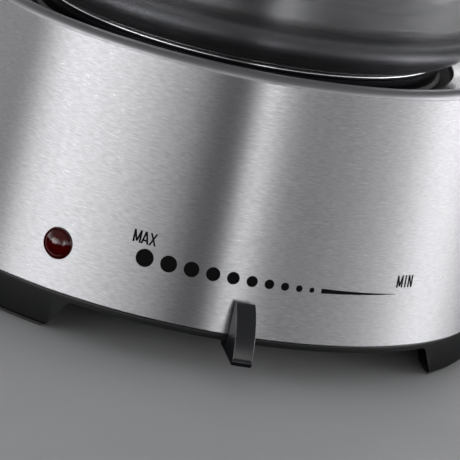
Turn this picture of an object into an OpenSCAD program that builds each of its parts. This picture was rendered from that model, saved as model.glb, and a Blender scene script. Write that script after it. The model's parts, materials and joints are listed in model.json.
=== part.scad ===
// Electric siphon coffee maker: a steel heater base with a thermostat lever, a steel lower
// vessel that stands on the hotplate, a glass brewing funnel, a cloth filter and a lid.
// The origin is on the axis of the base at table height. The front of the base faces -Y and
// the handle of the vessel faces +X. An angle on the wall is measured from the front towards +X.

/* [Heater base] */
// Outside radius of the steel wall at its lower edge
base_r = 80; // [79:0.5:84]
// Height of the steel rim above the table
base_h = 77.7; // [76:0.1:80]
// How much the wall leans in between its lower edge and its rim
wall_taper = 3.85; // [2:0.05:4.5]
// Height of the black foot ring, where the steel wall starts
foot_h = 10.6; // [10.2:0.1:11.4]
// Thickness of the sheet steel
sheet_t = 0.8; // [0.6:0.1:1]
// Radius of the roll at the rim
rim_roll = 2.4; // [2:0.1:3]
// Radius of the hotplate
plate_r = 55; // [54.5:0.5:56]
// Half angle of the gap between the feet, under the lip
gap_top_deg = 38.1; // [34:0.1:42]
// Half angle of the gap between the feet, on the table
gap_foot_deg = 42.2; // [42.1:0.1:46]

/* [Thermostat lever] */
// Angle of the lever at rest
lever_angle = -5.8; // [-25:0.1:25]
// Width of the lever's grip
grip_w = 5.1; // [5:0.1:7]
// Height of the top of the grip
grip_top = 20.2; // [19.8:0.1:20.6]
// Radius that the grip reaches
grip_reach = 93.2; // [92:0.1:94]

/* [Pilot light] */
// Angle of the pilot light on the wall
pilot_angle = -42; // [-46:0.5:-38]
// Height of the pilot light
pilot_z = 22.7; // [21:0.1:30]
// Radius of the red lens
pilot_r = 4; // [3.5:0.1:4.5]

/* [Power inlet] */
// Height of the middle of the inlet
inlet_z = 36; // [32:0.5:40]
// Width of the inlet's moulding
inlet_w = 30; // [29:0.5:32]
// Height of the inlet's moulding
inlet_h = 22; // [21:0.5:24]

/* [Vessel] */
// Radius of the sandwich base
disc_r = 54.3; // [53:0.1:54.5]
// Outside radius of the vessel
vessel_r = 67; // [66:0.5:68]
// Radius of the vessel's lower corner
corner_r = 16; // [14:0.5:17]
// Height at which the shoulder starts
shoulder_z = 128; // [126:0.5:128]
// Radius of the shoulder's curve
shoulder_r = 34; // [33:0.5:34]
// Outside radius of the neck
neck_r = 24; // [24:0.1:24.2]
// Thickness of the vessel's wall
vessel_t = 0.9; // [0.7:0.1:1]

/* [Handle] */
// Width of the handle across its grip
handle_w = 20; // [18:1:24]
// Radius of the bend in the handle's centre line
handle_bend = 20; // [18:1:22]
// Length of the straight grip below the bend
handle_l = 52; // [46:1:58]
// Lean of the grip towards the vessel
handle_lean = 8; // [4:1:10]

/* [Brewing funnel] */
// Outside radius of the glass bowl
bowl_r = 54; // [54:0.5:55]
// Height of the glass rim
bowl_top = 312; // [305:1:320]
// Thickness of the glass
glass_t = 2; // [1.8:0.1:2.2]
// Outside radius of the riser tube
stem_r = 8; // [7.8:0.1:8.2]

/* [Filter] */
// Radius of the cloth filter
filter_r = 26; // [24:0.5:26]

/* [Lid] */
// Radius of the lid
lid_r = 57.5; // [57:0.5:60]
// Rise of the domed top over the lid's edge
lid_rise = 5; // [4:0.5:7]

/* [Hidden] */
$fn = 96;

// Steel housing
wall_top = base_h - rim_roll;
rim_r = base_r - wall_taper;
dish_r = plate_r + 3.3;
dish_z = 71.4;
dish_foot = 66;
roll_end = 100;
function wall_r(z) = base_r - wall_taper * (z - foot_h) / (wall_top - foot_h);

// Foot ring, cover and strip
lip_t = 1.8;
skirt_top = foot_h - lip_t;
foot_r = base_r - 0.6;
skirt_in = 72.5;
strip_in = 74;
strip_out = 78;
strip_h = 2.5;
foot_lift = 1;
cover_r = 71;
cover_t = 1;
cover_top = foot_h + cover_t;
foot_screw_r = 68;

// Hotplate stack
plate_top = 70.5;
plate_z = 64.5;
element_r = 38;
element_tube = 3.2;
elbow_r = 5;
element_open = 40;
pan_r = 60;
pan_z = 54;
rod_pitch_r = 50;
rod_r = 2.5;

// Thermostat and lever
thermo_r = 14;
thermo_z = 44;
bush_r = 5;
bush_z = 36;
spindle_r = 3;
running_gap = 0.05;
bracket_l = 35;
arm_z = 6.9;
arm_t = 1.3;
arm_end = 87;
grip_z = 6.5;
grip_back = base_r + 0.9;
grip_front_r = 16;
grip_foot_r = 1.6;

// Power inlet
inlet_face = base_r + 0.5;
inlet_depth = 32;
inlet_back = inlet_face - inlet_depth;
socket_depth = 22;
socket_w = inlet_w - 5;
socket_h = inlet_h - 5;
inlet_screw_deg = 14.5;
function inlet_pin_z(i) = inlet_z + (i == 0 ? 2.5 : -1.5);

// Vessel
seat_gap = 0.3;
vessel_z = 75;
neck_top = 184;
neck_fillet = 10;
shoulder_c = [vessel_r - shoulder_r, shoulder_z];
neck_c = [neck_r + neck_fillet, shoulder_z
    + sqrt((shoulder_r + neck_fillet) ^ 2 - (neck_r + neck_fillet - shoulder_c.x) ^ 2)];
neck_turn = atan2(neck_c.y - shoulder_c.y, neck_c.x - shoulder_c.x);
band_z = 173.5;
band_h = 7;
handle_z = 179;
handle_t = 7;
handle_start = 44;
tongue_w = 7.8;
handle_screw_x = 34;

// Funnel
bowl_bottom_r = 44;
spout_r = 12;
spout_fillet = 6;
spout_z = 187.2;
fillet_c = [spout_r + spout_fillet, 190];
bowl_c = [bowl_r - bowl_bottom_r, fillet_c.y
    + sqrt((bowl_bottom_r + spout_fillet) ^ 2 - (fillet_c.x - bowl_r + bowl_bottom_r) ^ 2)];
bowl_turn = atan2(fillet_c.y - bowl_c.y, fillet_c.x - bowl_c.x);
riser_foot = 79;
riser_t = 1.2;
gasket_z = neck_top + 0.4;

// Filter
filter_z = 201;
filter_t = 2.4;
spring_top = 193;
spring_foot = 163;
spring_turns = 12;
chain_foot = 92;
bead_pitch = 2.6;

// Lid
lid_z = bowl_top + 0.3;
lid_t = 2.4;
lid_dome_z = lid_z + 4 + lid_rise;
skirt_r = bowl_r - glass_t - 1;
knob_z = lid_dome_z;

// Points along an arc about c, from angle a0 to a1
function arc(c, r, a0, a1, n = 10) = [for (i = [0:n]) let (a = a0 + (a1 - a0) * i / n) c + r * [cos(a), sin(a)]];

// Puts children on the wall: their +Z points outwards at this angle and height, from the axis
module on_wall(angle, z) {
    rotate([0, 0, angle]) translate([0, 0, z]) rotate([90, 0, 0]) children();
}

// Screw along -Z with its head below the origin plane and its shank above it
module pan_screw(shank_r, shank_l, head_r, head_h) {
    difference() {
        union() {
            cylinder(r = shank_r, h = shank_l);
            translate([0, 0, -head_h]) cylinder(r1 = head_r - 0.5, r2 = head_r, h = head_h);
        }
        for (turn = [0, 90]) rotate([0, 0, turn])
            translate([-head_r * 0.6, -0.35, -head_h - 1]) cube([head_r * 1.2, 0.7, 1 + head_h / 2]);
    }
}

function unit(v) = v / norm(v);

// Tube through rings of points, closed at both ends
module skin_rings(rings) {
    sides = len(rings[0]);
    last = len(rings) - 1;
    polyhedron(points = [for (ring = rings) each ring], faces = concat(
        [[for (k = [0:sides - 1]) k]],
        [for (i = [0:last - 1], k = [0:sides - 1]) let (n = (k + 1) % sides)
            [i * sides + k, (i + 1) * sides + k, (i + 1) * sides + n, i * sides + n]],
        [[for (k = [sides - 1:-1:0]) last * sides + k]]));
}

// Insulated wire along a list of points that never runs straight along X
module wire_run(points, r) {
    last = len(points) - 1;
    skin_rings([for (i = [0:last]) let (
        ahead = unit(points[min(i + 1, last)] - points[min(i, last - 1)]),
        behind = unit(points[max(i, 1)] - points[max(i - 1, 0)]),
        along = unit(ahead + behind), side = unit(cross(along, [1, 0, 0])), up = cross(along, side))
        [for (k = [0:7]) points[i] + r * (cos(45 * k) * side + sin(45 * k) * up)]]);
}

// ---- Heater base ----

module housing_shell() {
    slope = (base_h - dish_z) / (rim_r - rim_roll - dish_r);
    drop = sheet_t * sqrt(1 + slope ^ 2);
    roll_c = [rim_r - rim_roll, wall_top];
    color("silver") difference() {
        rotate_extrude($fn = 180) polygon(concat(
            [[base_r, foot_h]], arc(roll_c, rim_roll, 0, roll_end), [[dish_r, dish_z], [dish_r, dish_foot],
            [dish_r + sheet_t, dish_foot], [dish_r + sheet_t, dish_z + slope * sheet_t - drop]],
            arc(roll_c, rim_roll - sheet_t, roll_end, 0), [[base_r - sheet_t, foot_h]]));
        on_wall(pilot_angle, pilot_z) translate([0, 0, base_r - 10]) cylinder(r = pilot_r + 0.15, h = 20);
        translate([-inlet_w / 2 - 0.3, base_r - 15, inlet_z - inlet_h / 2 - 0.3])
            cube([inlet_w + 0.6, 30, inlet_h + 0.6]);
        for (side = [-1, 1]) on_wall(180 + side * inlet_screw_deg, inlet_z)
            translate([0, 0, base_r - 10]) cylinder(r = 1.4, h = 20);
    }
}

// Space between the feet at the front, wider at the table and rounded under the lip
module foot_gap() {
    top = foot_r * sin(gap_top_deg);
    foot = foot_r * sin(gap_foot_deg);
    round_r = 2;
    translate([0, -40, 0]) rotate([90, 0, 0]) linear_extrude(60) polygon(concat(
        [[-foot, -1], [foot, -1]], arc([top - round_r, skirt_top - round_r], round_r, 20, 90, 6),
        arc([round_r - top, skirt_top - round_r], round_r, 90, 160, 6)));
}

module foot_ring() {
    color("#202123") difference() {
        union() {
            rotate_extrude($fn = 180) polygon([[64, skirt_top], [foot_r, skirt_top], [foot_r, foot_h],
                [base_r - sheet_t - 0.4, foot_h], [base_r - sheet_t - 0.6, foot_h + 3],
                [base_r - sheet_t - 2.4, foot_h + 3], [base_r - sheet_t - 2.4, foot_h], [64, foot_h]]);
            difference() {
                rotate_extrude($fn = 180) polygon([[skirt_in, foot_lift], [foot_r - 0.6, foot_lift],
                    [foot_r, foot_lift + 0.6], [foot_r, skirt_top], [skirt_in, skirt_top]]);
                foot_gap();
            }
        }
        strip_ring(strip_h);
        foot_screw_places() translate([0, 0, skirt_top - 1]) cylinder(r = 1.5, h = 4);
    }
}

// C-shaped strip under the feet, open at the front
module strip_ring(h) {
    difference() {
        rotate_extrude($fn = 180) polygon([[strip_in, 0], [strip_out, 0], [strip_out, h], [strip_in, h]]);
        foot_gap();
    }
}

module antislip_strip() {
    color("#141414") strip_ring(strip_h);
}

module foot_screw_places() {
    for (a = [60, 120, 240, 300]) rotate([0, 0, a]) translate([0, -foot_screw_r, 0]) children();
}

module rod_places() {
    for (a = [0, 120, 240]) rotate([0, 0, a]) translate([0, -rod_pitch_r, 0]) children();
}

module bottom_cover() {
    slots = 24;
    color("#8f9194") difference() {
        translate([0, 0, foot_h]) cylinder(r = cover_r, h = cover_t);
        translate([0, 0, foot_h - 1]) cylinder(r = 7.2, h = cover_t + 2);
        rod_places() translate([0, 0, foot_h - 1]) cylinder(r = 1.5, h = cover_t + 2);
        foot_screw_places() translate([0, 0, foot_h - 1]) cylinder(r = 1.5, h = cover_t + 2);
        for (i = [0:slots - 1]) rotate([0, 0, (i + 0.5) * 360 / slots])
            translate([-1.5, 28, foot_h - 1]) cube([3, 14, cover_t + 2]);
    }
}

module foot_screws() {
    color("silver") foot_screw_places() translate([0, 0, skirt_top]) pan_screw(1.5, 5, 3, 2);
}

module cover_screws() {
    color("silver") rod_places() translate([0, 0, foot_h]) pan_screw(1.5, 8, 3.4, 2);
}

module tie_rods() {
    color("silver") difference() {
        rod_places() translate([0, 0, cover_top]) cylinder(r = rod_r, h = plate_z - cover_top, $fn = 32);
        rod_places() translate([0, 0, cover_top - 1]) cylinder(r = 1.5, h = 8.5, $fn = 32);
    }
}

module tie_rod_nuts() {
    nut_h = 2.4;
    color("silver") rod_places() translate([0, 0, pan_z - nut_h]) difference() {
        cylinder(r = 4.6, h = nut_h, $fn = 6);
        translate([0, 0, -1]) cylinder(r = rod_r, h = nut_h + 2, $fn = 32);
    }
}

module hotplate() {
    color("#4a4b4d") difference() {
        rotate_extrude($fn = 180) polygon([[0, plate_z], [plate_r, plate_z], [plate_r, plate_top - 0.8],
            [plate_r - 0.8, plate_top], [0, plate_top]]);
        rotate_extrude($fn = 120) translate([element_r, plate_z]) circle(r = element_tube + 0.05, $fn = 32);
    }
}

module plate_seal() {
    color("#1a1a1a") rotate_extrude($fn = 120) polygon([[plate_r, dish_foot], [dish_r, dish_foot],
        [dish_r, dish_z - 1.6], [dish_r - 0.8, dish_z - 1.2], [plate_r, dish_z - 2.2]]);
}

// Places the two ends of the element's ring, with +Y along the ring
module element_ends(ahead) {
    for (side = [0, 1]) mirror([side, 0, 0]) rotate([0, 0, 90 - element_open / 2])
        translate([element_r, ahead, 0]) children();
}

module heating_element() {
    leg = 17;
    color("#6d6f72") union() {
        translate([0, 0, plate_z]) rotate([0, 0, 90 + element_open / 2])
            rotate_extrude(angle = 360 - element_open, $fn = 120) translate([element_r, 0])
                circle(r = element_tube, $fn = 32);
        element_ends(0) translate([0, 0, plate_z - elbow_r]) rotate([90, 0, 90]) rotate_extrude(angle = 90, $fn = 48)
            translate([elbow_r, 0]) circle(r = element_tube, $fn = 32);
        element_ends(elbow_r) translate([0, 0, plate_z - leg]) {
            cylinder(r = element_tube, h = leg - elbow_r, $fn = 32);
            translate([-0.4, -2.5, -7]) cube([0.8, 5, 7]);
        }
    }
}

module heat_reflector() {
    color("#c9cbce") difference() {
        rotate_extrude($fn = 120) polygon([[0, pan_z], [pan_r, pan_z], [pan_r, dish_foot - sheet_t],
            [pan_r + 2, dish_foot - sheet_t], [pan_r + 2, dish_foot], [pan_r - sheet_t, dish_foot],
            [pan_r - sheet_t, pan_z + sheet_t], [0, pan_z + sheet_t]]);
        translate([0, 0, pan_z - 1]) cylinder(r = thermo_r + 1, h = 4);
        rod_places() translate([0, 0, pan_z - 1]) cylinder(r = rod_r, h = 4);
        element_ends(elbow_r) translate([0, 0, pan_z - 1]) cylinder(r = element_tube + 1, h = 4);
        for (side = [-1, 1]) translate([side * bracket_l, 0, pan_z - 1]) cylinder(r = 1.5, h = 4);
    }
}

module thermostat_body() {
    color("#e9e4d6") difference() {
        union() {
            translate([0, 0, bush_z]) cylinder(r = bush_r, h = thermo_z - bush_z, $fn = 48);
            translate([0, 0, thermo_z]) cylinder(r = thermo_r, h = 16, $fn = 64);
            translate([0, 0, thermo_z + 16]) cylinder(r = 7, h = plate_z - thermo_z - 16, $fn = 48);
            for (side = [-1, 1]) translate([side * 6 - 0.4, thermo_r - 2, thermo_z + 4]) cube([0.8, 9, 6]);
        }
        translate([0, 0, bush_z - 1]) cylinder(r = spindle_r + running_gap, h = 17, $fn = 64);
    }
}

module thermostat_bracket() {
    strap_t = 1.2;
    strap_w = 12;
    color("silver") difference() {
        union() {
            translate([-bracket_l + 5, -strap_w / 2, thermo_z - strap_t]) cube([2 * bracket_l - 10, strap_w, strap_t]);
            for (side = [0, 1]) mirror([side, 0, 0]) {
                translate([bracket_l - 5 - strap_t, -strap_w / 2, thermo_z - strap_t])
                    cube([strap_t, strap_w, pan_z - thermo_z + strap_t]);
                translate([bracket_l - 5 - strap_t, -strap_w / 2, pan_z - strap_t]) cube([10, strap_w, strap_t]);
            }
        }
        translate([0, 0, thermo_z - 3]) cylinder(r = bush_r, h = 4, $fn = 48);
        for (side = [-1, 1]) translate([side * bracket_l, 0, pan_z - 2]) cylinder(r = 1.5, h = 4);
    }
}

module bracket_screws() {
    color("silver") for (side = [-1, 1]) translate([side * bracket_l, 0, pan_z - 1.2]) pan_screw(1.5, 4, 2.8, 1.6);
}

module spindle_guide() {
    color("#e9e4d6") rotate_extrude($fn = 64) polygon([[spindle_r + running_gap, foot_h - 1.2], [9.5, foot_h - 1.2],
        [9.5, foot_h], [7.2, foot_h], [7.2, cover_top + 1.5], [spindle_r + running_gap, cover_top + 4]]);
}

module thermal_fuse() {
    color("#d8c27a") translate([-20, -24, pan_z - 3.2]) rotate([0, 90, 0]) union() {
        cylinder(r = 2.2, h = 14, center = true, $fn = 32);
        cylinder(r = 0.5, h = 34, center = true, $fn = 16);
    }
}

module fuse_clip() {
    strap_t = 0.8;
    color("silver") difference() {
        union() {
            translate([-22.5, -27.6, pan_z - 6.2]) cube([5, 7.2, 6.2]);
            translate([-22.5, -32, pan_z - strap_t]) cube([5, 16, strap_t]);
        }
        translate([-23.5, -27.6 + strap_t, pan_z - 6.2 + strap_t]) cube([7, 7.2 - 2 * strap_t, 6.2]);
    }
}

module terminal_places() {
    for (i = [-1:1]) translate([i * 10, 25, cover_top]) children();
}

module terminal_block() {
    color("#ece9e0") difference() {
        translate([-16, 17, cover_top]) cube([32, 16, 12]);
        terminal_places() translate([0, 0, 6]) rotate([90, 0, 0]) cylinder(r = 1.8, h = 30, center = true, $fn = 32);
        terminal_places() translate([0, 0, 6]) cylinder(r = 1.5, h = 10, $fn = 32);
    }
}

module terminal_screws() {
    color("#c8b06a") terminal_places() translate([0, 0, 12]) rotate([180, 0, 0]) pan_screw(1.5, 4, 2.6, 1.4);
}

// Leads from the inlet to the terminals, and up from the terminals to the element and thermostat
module internal_leads() {
    lead_r = 1.2;
    tab_y = inlet_back - 8;
    color("#b8412f") for (i = [-1:1]) union()
        wire_run([[i * 7, tab_y, inlet_pin_z(i)], [i * 7, tab_y - 1.6, inlet_pin_z(i)], [i * 9, tab_y - 4, inlet_z - 10],
            [i * 10, 36, cover_top + 6], [i * 10, 28, cover_top + 6]], lead_r);
    color("#3b6fb0") for (side = [-1, 1]) union()
        wire_run([[side * 10, 22, cover_top + 6], [side * 10, 14.5, cover_top + 6], [side * 13, 11, cover_top + 9],
            [side * 20, 18, 30], [side * 12, 34, 37], [side * 8.3, 37.4, 39.4]], lead_r);
}

module pilot_lens() {
    face = wall_r(pilot_z);
    dome_h = 2;
    dome_r = (pilot_r ^ 2 + dome_h ^ 2) / (2 * dome_h);
    color("#7a1410") on_wall(pilot_angle, pilot_z) difference() {
        union() {
            translate([0, 0, face - sheet_t - 1.4]) cylinder(r = pilot_r + 1.4, h = 1.1);
            translate([0, 0, face - sheet_t - 1.4]) cylinder(r = pilot_r, h = sheet_t + 1.4);
            intersection() {
                translate([0, 0, face + dome_h - dome_r]) sphere(r = dome_r);
                translate([0, 0, face - 0.01]) cylinder(r = pilot_r, h = dome_h + 1);
            }
        }
        translate([0, 0, face - 5]) cylinder(r = 2.9, h = 5);
    }
}

module pilot_holder() {
    back = wall_r(pilot_z) - sheet_t - 1.4;
    color("#26272a") on_wall(pilot_angle, pilot_z) difference() {
        translate([0, 0, back - 14]) cylinder(r = pilot_r + 1.4, h = 14);
        translate([0, 0, back - 12]) cylinder(r = 3.2, h = 13);
        for (side = [-1, 1]) translate([side * 1.2, 0, back - 15]) cylinder(r = 0.6, h = 4, $fn = 16);
    }
}

module pilot_lamp() {
    back = wall_r(pilot_z) - sheet_t - 1.4;
    color("#d9825a") on_wall(pilot_angle, pilot_z) union() {
        translate([0, 0, back - 11.5]) cylinder(r = 2.4, h = 11, $fn = 32);
        translate([0, 0, back - 0.5]) sphere(r = 2.4, $fn = 32);
        for (side = [-1, 1]) translate([side * 1.2, 0, back - 22]) cylinder(r = 0.4, h = 11, $fn = 16);
    }
}

// ---- Power inlet ----

module inlet_housing() {
    bevel = 4;
    color("#1c1d1f") difference() {
        translate([-inlet_w / 2, inlet_back, inlet_z - inlet_h / 2]) cube([inlet_w, inlet_depth, inlet_h]);
        translate([0, inlet_face + 1, inlet_z]) rotate([90, 0, 0]) linear_extrude(socket_depth + 1) polygon([
            [-socket_w / 2, -socket_h / 2], [socket_w / 2, -socket_h / 2], [socket_w / 2, socket_h / 2 - bevel],
            [socket_w / 2 - bevel, socket_h / 2], [bevel - socket_w / 2, socket_h / 2],
            [-socket_w / 2, socket_h / 2 - bevel]]);
        for (i = [-1:1]) inlet_pin_place(i) inlet_pin_bar(0.01);
    }
}

module inlet_pin_place(i) {
    translate([i * 7, inlet_back - 8, inlet_pin_z(i)]) children();
}

module inlet_pin_bar(slack) {
    translate([-1 - slack, 0, -2 - slack]) cube([2 + 2 * slack, 32, 4 + 2 * slack]);
}

module inlet_pins() {
    color("#d3c58f") for (i = [-1:1]) inlet_pin_place(i) inlet_pin_bar(0);
}

module inlet_surround() {
    frame_w = 48;
    frame_h = 30;
    trim_t = 1.7;
    low = inlet_z - frame_h / 2;
    high = inlet_z + frame_h / 2;
    color("#1c1d1f") difference() {
        intersection() {
            rotate_extrude($fn = 180) polygon([[wall_r(low) + 0.05, low], [wall_r(low) + trim_t, low],
                [wall_r(high) + trim_t, high], [wall_r(high) + 0.05, high]]);
            translate([-frame_w / 2, base_r - 15, low - 1]) cube([frame_w, 30, frame_h + 2]);
        }
        translate([-inlet_w / 2, base_r - 20, inlet_z - inlet_h / 2]) cube([inlet_w, 40, inlet_h]);
        for (side = [-1, 1]) on_wall(180 + side * inlet_screw_deg, inlet_z)
            translate([0, 0, base_r - 10]) cylinder(r = 1.4, h = 20);
    }
}

module inlet_screws() {
    color("silver") for (side = [-1, 1]) on_wall(180 + side * inlet_screw_deg, inlet_z)
        translate([0, 0, wall_r(inlet_z) + 1.85]) rotate([180, 0, 0]) pan_screw(1.4, 8, 2.6, 1.2);
}

// ---- Thermostat lever ----

module thermostat_spindle() {
    color("silver") difference() {
        union() {
            translate([0, 0, arm_z + arm_t]) cylinder(r = spindle_r, h = 50 - arm_z - arm_t, $fn = 64);
            translate([0, 0, arm_z]) cylinder(r = 2.2, h = arm_t, $fn = 48);
        }
        translate([0, 0, arm_z - 1]) cylinder(r = 1.2, h = 9, $fn = 32);
    }
}

// The arm's flat strip, and its narrow tongue that turns up inside the grip
module arm_strip() {
    tongue_start = base_r - 6;
    translate([-2.6, -tongue_start, arm_z]) cube([5.2, tongue_start, arm_t]);
    translate([-1.6, -arm_end, arm_z]) cube([3.2, arm_end - tongue_start + 1, arm_t]);
    translate([-1.6, -arm_end, arm_z]) cube([3.2, arm_t, 8]);
}

module lever_arm() {
    color("#9a9da1") rotate([0, 0, lever_angle]) difference() {
        union() {
            translate([0, 0, arm_z]) cylinder(r = 6.5, h = arm_t, $fn = 64);
            arm_strip();
        }
        translate([0, 0, arm_z - 1]) cylinder(r = 2.2, h = arm_t + 2, $fn = 48);
    }
}

// Side outline of the grip as (radius, height): flat below, full in front, straight behind
function grip_outline() = let (front_c = [grip_reach - grip_front_r - 0.2, grip_z - 1.4]) concat(
    [[base_r - 5, grip_z + 0.4], [base_r - 4.6, grip_z]],
    arc([grip_reach - grip_foot_r, grip_z + grip_foot_r], grip_foot_r, -90, 0, 6),
    arc(front_c, grip_front_r, 12, 60, 10), arc([grip_back + 1.4, grip_top - 1.4], 1.4, 75, 180, 6),
    [[grip_back, skirt_top - 0.4], [base_r - 5, skirt_top - 0.4]]);

module lever_grip() {
    color("#3a3c40") rotate([0, 0, lever_angle]) difference() {
        rotate([90, 0, -90]) linear_extrude(grip_w, center = true) polygon(grip_outline());
        arm_strip();
    }
}

module lever_screw() {
    color("silver") translate([0, 0, arm_z]) pan_screw(1.2, 7.5, 3.4, 1.8);
}

// ---- Lower vessel ----

module vessel_body() {
    t = vessel_t;
    corner_c = [vessel_r - corner_r, vessel_z + corner_r];
    bead_r = 1.3;
    color("#d5d7da") rotate_extrude($fn = 144) polygon(concat(
        [[0, vessel_z]], arc(corner_c, corner_r, -90, 0), arc(shoulder_c, shoulder_r, 0, neck_turn, 12),
        arc(neck_c, neck_fillet, neck_turn + 180, 180), arc([neck_r + 0.4, neck_top - bead_r], bead_r, -108, 90),
        [[neck_r - t + 0.4, neck_top], [neck_r - t, neck_top - 0.4]],
        arc(neck_c, neck_fillet + t, 180, neck_turn + 180), arc(shoulder_c, shoulder_r - t, neck_turn, 0, 12),
        arc(corner_c, corner_r - t, 0, -90), [[0, vessel_z + t]]));
}

module sandwich_base() {
    disc_z = plate_top + seat_gap;
    color("#c4c6c9") rotate_extrude($fn = 144) polygon([[0, disc_z], [disc_r - 1.2, disc_z],
        [disc_r, disc_z + 1.2], [disc_r, vessel_z - 0.4], [disc_r - 0.4, vessel_z], [0, vessel_z]]);
}

module handle_screw_axis() {
    translate([handle_screw_x, 0, band_z + band_h / 2]) rotate([90, 0, 0]) children();
}

module handle_band() {
    ear_l = handle_screw_x + 6 - neck_r;
    color("silver") difference() {
        union() {
            translate([0, 0, band_z]) cylinder(r = neck_r + 1.1, h = band_h, $fn = 96);
            for (side = [0, 1]) mirror([0, side, 0]) translate([neck_r - 2, tongue_w / 2, band_z])
                cube([ear_l + 2, 1.1, band_h]);
        }
        translate([0, 0, band_z - 1]) cylinder(r = neck_r, h = band_h + 2, $fn = 96);
        translate([neck_r - 4, -tongue_w / 2, band_z - 1]) cube([8, tongue_w, band_h + 2]);
        handle_screw_axis() cylinder(r = 2, h = 30, center = true, $fn = 48);
    }
}

module handle() {
    bend_c = [handle_start + 40, handle_z - handle_bend];
    end_c = bend_c + handle_bend * [cos(handle_lean), -sin(handle_lean)]
        - handle_l * [sin(handle_lean), cos(handle_lean)];
    color("#202123") difference() {
        union() {
            rotate([90, 0, 0]) linear_extrude(handle_w, center = true) polygon(concat(
                [[handle_start, handle_z + handle_t]], arc(bend_c, handle_bend + handle_t, 90, -handle_lean, 12),
                arc(end_c, handle_t, -handle_lean, -handle_lean - 180, 8),
                arc(bend_c, handle_bend - handle_t, -handle_lean, 90, 8), [[handle_start, handle_z - handle_t]]));
            translate([neck_r + 2.2, -tongue_w / 2, band_z - 0.5])
                cube([handle_start - neck_r - 1, tongue_w, band_h + 1]);
        }
        handle_screw_axis() cylinder(r = 2, h = 30, center = true, $fn = 48);
    }
}

module handle_screw() {
    ear_out = tongue_w / 2 + 1.1;
    color("silver") handle_screw_axis() translate([0, 0, ear_out]) rotate([180, 0, 0])
        pan_screw(2, 2 * ear_out + 3.4, 3.6, 2);
}

module handle_nut() {
    ear_out = tongue_w / 2 + 1.1;
    color("silver") handle_screw_axis() translate([0, 0, -ear_out - 3]) difference() {
        cylinder(r = 4, h = 3, $fn = 6);
        translate([0, 0, -1]) cylinder(r = 2, h = 5, $fn = 48);
    }
}

// ---- Brewing funnel ----

module funnel_bowl() {
    t = glass_t;
    color([0.8, 0.88, 0.9, 0.4]) rotate_extrude($fn = 144) polygon(concat(
        [[spout_r, spout_z]], arc(fillet_c, spout_fillet, 180, 180 + bowl_turn), arc(bowl_c, bowl_bottom_r, bowl_turn, 0, 16),
        [[bowl_r, bowl_top - 4]], arc([bowl_r - t / 2, bowl_top - 1.4], 1.4, -20, 200, 8),
        [[bowl_r - t, bowl_top - 4]], arc(bowl_c, bowl_bottom_r - t, 0, bowl_turn, 16),
        arc(fillet_c, spout_fillet + t, 180 + bowl_turn, 180), [[spout_r - t, spout_z]]));
}

module riser_tube() {
    flange_r = spout_r - glass_t - 0.3;
    color("silver") rotate_extrude($fn = 64) polygon([[stem_r - riser_t, riser_foot], [stem_r, riser_foot],
        [stem_r, spout_z], [flange_r, spout_z], [flange_r, spout_z + 1.2], [stem_r, spout_z + 1.2],
        [stem_r, spout_z + 8], [stem_r - riser_t, spout_z + 8]]);
}

module seal_gasket() {
    flange_r = 27;
    socket_r = spout_r + 0.02;
    color("#3d3e40") rotate_extrude($fn = 96) polygon([[stem_r, 168], [neck_r - 2.6, 168],
        [neck_r - vessel_t - 0.6, gasket_z], [flange_r, gasket_z], [flange_r, gasket_z + 5.5],
        [socket_r + 3, gasket_z + 5.5], [socket_r, gasket_z + 4.4], [socket_r, spout_z], [stem_r, spout_z]]);
}

module funnel_collar() {
    bore_r = 27.2;
    color("#202123") rotate_extrude($fn = 144) polygon(concat(
        [[bore_r, gasket_z], [30.5, gasket_z], [36.8, 203.9]],
        [for (r = [35.8, 33.5, 31, 29, bore_r])
            [r, bowl_c.y - sqrt((bowl_bottom_r + 0.3) ^ 2 - (r - bowl_c.x) ^ 2)]]));
}

// ---- Filter ----

module filter_disc() {
    color("silver") difference() {
        translate([0, 0, filter_z + 0.7]) cylinder(r = filter_r - 1.2, h = 1);
        translate([0, 0, filter_z]) cylinder(r = 1.5, h = 3, $fn = 32);
        for (ring = [[9, 12], [15, 20], [21, 28]]) for (i = [0:ring[1] - 1]) rotate([0, 0, i * 360 / ring[1]])
            translate([-0.7, ring[0] - 2.2, filter_z]) cube([1.4, 4.4, 3]);
    }
}

module filter_cloth() {
    color("#e8e0cf") difference() {
        translate([0, 0, filter_z + 1.7]) cylinder(r = filter_r, h = filter_t - 1.7);
        translate([0, 0, filter_z]) cylinder(r = 1.5, h = 4, $fn = 32);
    }
}

module filter_stud() {
    color("silver") union() {
        translate([0, 0, 197]) cylinder(r = 1.5, h = filter_z + filter_t + 3 - 197, $fn = 32);
        translate([0, 0, 194.8]) rotate([90, 0, 0]) rotate_extrude($fn = 48) translate([2.2, 0]) circle(r = 0.6, $fn = 20);
    }
}

module filter_nut() {
    top = filter_z + filter_t;
    color("silver") difference() {
        union() {
            translate([0, 0, top]) cylinder(r = 6, h = 0.8, $fn = 64);
            translate([0, 0, top + 0.8]) cylinder(r = 3.4, h = 2, $fn = 6);
            translate([0, 0, top + 2.2]) sphere(r = 2.6, $fn = 32);
        }
        translate([0, 0, top - 1]) cylinder(r = 1.5, h = 4, $fn = 32);
    }
}

// Coil of round wire: rings of points swept along the helix, closed at both ends
module coil(coil_r, wire_r, low, high, turns) {
    sides = 8;
    steps = turns * 14;
    pitch = (high - low) / turns;
    lean = atan(pitch / (2 * PI * coil_r));
    skin_rings([for (i = [0:steps]) let (a = 360 * turns * i / steps, z = low + (high - low) * i / steps)
        [for (k = [0:sides - 1]) let (b = 360 * k / sides, out = coil_r + wire_r * cos(b), up = wire_r * sin(b))
            [out * cos(a) + up * sin(lean) * sin(a), out * sin(a) - up * sin(lean) * cos(a), z + up * cos(lean)]]]);
}

module filter_spring() {
    color("silver") coil(3.4, 0.5, spring_foot, spring_top, spring_turns);
}

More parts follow.
